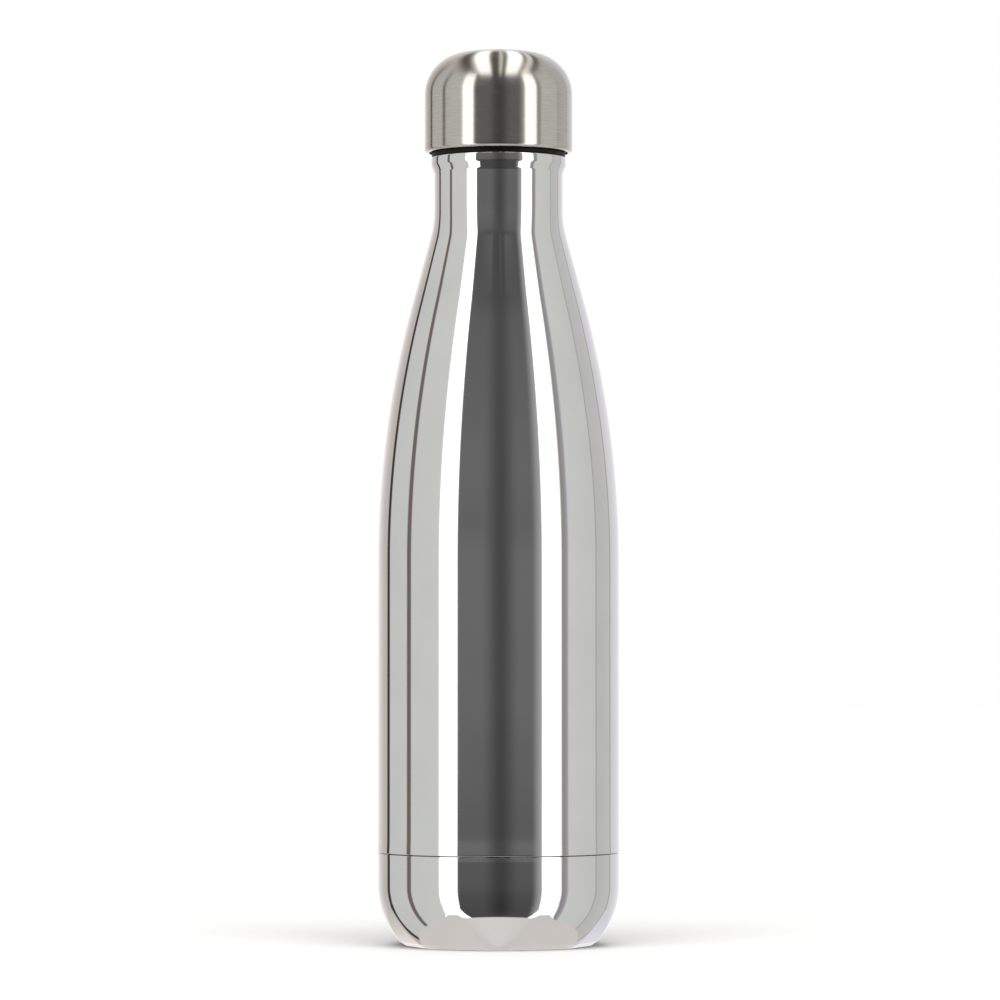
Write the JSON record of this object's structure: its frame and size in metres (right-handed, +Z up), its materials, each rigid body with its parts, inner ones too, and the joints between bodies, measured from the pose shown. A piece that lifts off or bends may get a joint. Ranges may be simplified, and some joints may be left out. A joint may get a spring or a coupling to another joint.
{
  "type": "insulated water bottle",
  "caption": "Slim double-wall vacuum bottle in polished steel with long sloping shoulders, a faceted base cup and a domed, brushed screw cap on a black seal.",
  "frame": {"origin": "centre of the base, on the surface that the bottle stands on", "axes": "+Z up the bottle's axis to the cap, -Y to the front; the body is round, and the base has flats at 22.5 degrees and every 45 degrees from there"},
  "size_m": [0.0702, 0.0702, 0.26],
  "materials": {
    "polished_steel": "polished",
    "brushed_steel": "satin",
    "raw_steel": "satin",
    "copper": "satin",
    "solder_glass": "gloss",
    "getter_alloy": "matte",
    "black_plastic": "satin",
    "foam": "matte",
    "silicone": "satin"
  },
  "bodies": {
    "bottle": {"outer_shell": "polished_steel", "base_cup": "polished_steel", "base_cover": "brushed_steel", "solder_seal": "solder_glass", "getter_holder": "raw_steel", "getter": "getter_alloy", "inner_liner": "raw_steel", "liner_bottom": "raw_steel", "copper_foil": "copper", "foil_disc": "copper"},
    "seal": {"seal_ring": "silicone"},
    "cap": {"cap_shell": "brushed_steel", "cap_liner": "black_plastic", "stopper": "black_plastic", "stopper_foam": "foam", "stopper_lid": "black_plastic"}
  },
  "joints": [
    {"name": "cap_lift", "type": "slide", "parent": "bottle", "child": "seal", "axis": [0, 0, 1], "range_m": [0, 0.032]},
    {"name": "cap_turn", "type": "hinge", "parent": "seal", "child": "cap", "pos_m": [0, 0, 0.2287], "axis": [0, 0, 1], "range_deg": [0, 1440]}
  ],
  "couplings": [
    {"joint": "cap_lift", "follows": "cap_turn", "m_per_rad": 0.0012732}
  ]
}
